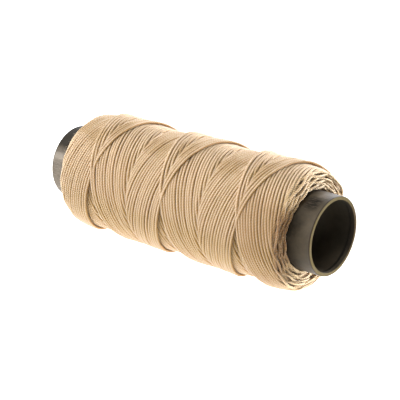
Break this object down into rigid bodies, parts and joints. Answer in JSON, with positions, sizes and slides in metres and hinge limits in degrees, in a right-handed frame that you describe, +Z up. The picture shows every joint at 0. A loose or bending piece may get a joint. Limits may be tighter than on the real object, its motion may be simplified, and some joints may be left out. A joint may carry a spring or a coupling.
{
  "type": "waxed thread spool",
  "caption": "Open plastic core tube cross-wound with one continuous waxed hand-sewing thread in crossing helical layers, bare tube necks showing at both ends.",
  "frame": {"origin": "on the tube's axis, at the middle of its length", "axes": "+X along the tube's axis towards the end with the shorter bare neck, +Z up as the spool lies on its side"},
  "size_m": [0.0904, 0.034, 0.034],
  "materials": {
    "tube_plastic": "satin moulded, warm dark grey, with a paler worn rim",
    "waxed_thread": "plied, lightly waxed, soft sheen"
  },
  "bodies": {
    "root": {"core_tube": "tube_plastic", "thread_winding": "waxed_thread"}
  },
  "joints": []
}
